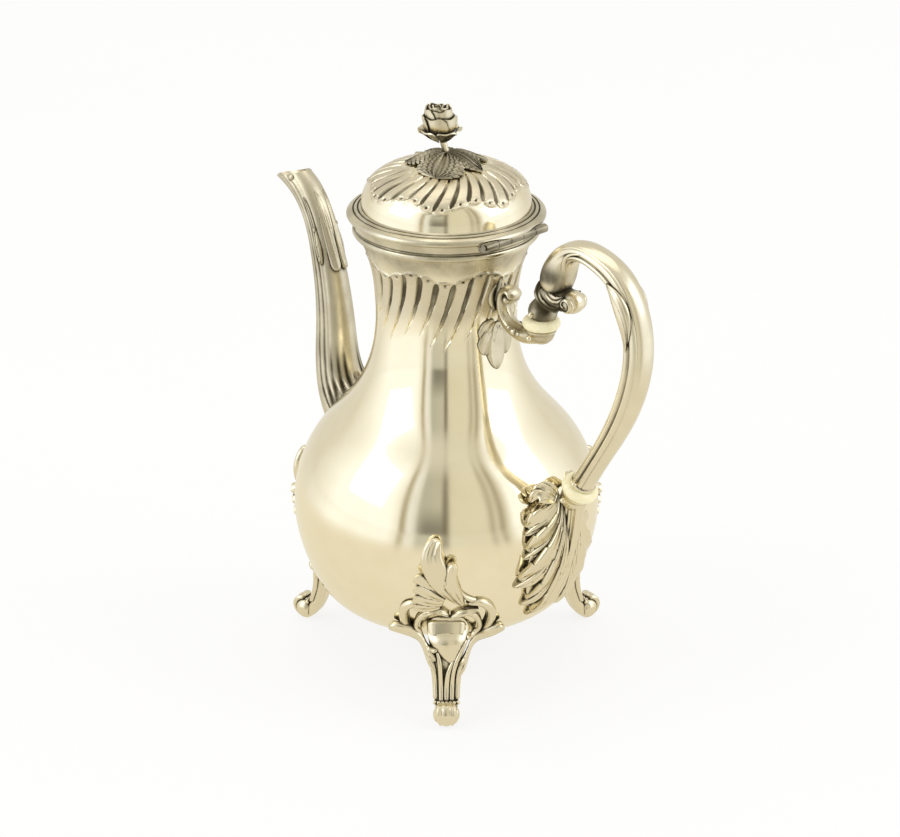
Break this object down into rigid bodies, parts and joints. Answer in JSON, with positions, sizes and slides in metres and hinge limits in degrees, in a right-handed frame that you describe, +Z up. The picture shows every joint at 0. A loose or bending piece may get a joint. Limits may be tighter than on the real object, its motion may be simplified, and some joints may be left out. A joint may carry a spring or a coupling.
{
  "type": "silver coffee pot",
  "caption": "Pear-shaped silver coffee pot on scroll feet, with a hinged domed lid, rose finial, tall curved spout and a C-scroll handle held between ivory-coloured rings.",
  "frame": {"origin": "on the pot's axis, at the level of the soles", "axes": "+Z up the pot's axis, +X towards the handle, -X towards the spout"},
  "size_m": [0.2303, 0.1492, 0.2654],
  "materials": {
    "polished_silver": "polished warm silver",
    "cast_silver": "cast and chased silver, dark in the recesses",
    "ivory": "polished cream"
  },
  "bodies": {
    "pot": {"body_shell": "polished_silver", "mouth_rim": "polished_silver", "spout": "polished_silver", "handle": "polished_silver", "body_hinge_leaf": "polished_silver", "hinge_pin": "polished_silver", "spout_strainer": "cast_silver", "leg_front": "cast_silver", "leg_right": "cast_silver", "leg_left": "cast_silver", "upper_socket": "cast_silver", "lower_socket": "cast_silver", "upper_socket_pin": "cast_silver", "upper_handle_pin": "cast_silver", "lower_socket_pin": "cast_silver", "lower_handle_pin": "cast_silver", "upper_insulator": "ivory", "lower_insulator": "ivory"},
    "lid": {"lid_dome": "polished_silver", "lid_flange": "polished_silver", "lid_bezel": "polished_silver", "lid_hinge_leaf": "polished_silver", "finial_leaves": "cast_silver", "finial_stem": "cast_silver", "finial_rose": "cast_silver", "finial_nut": "cast_silver"}
  },
  "joints": [
    {"name": "lid_hinge", "type": "hinge", "parent": "pot", "child": "lid", "pos_m": [0.042, 0, 0.21315], "axis": [0, 1, 0], "range_deg": [0, 100]}
  ]
}
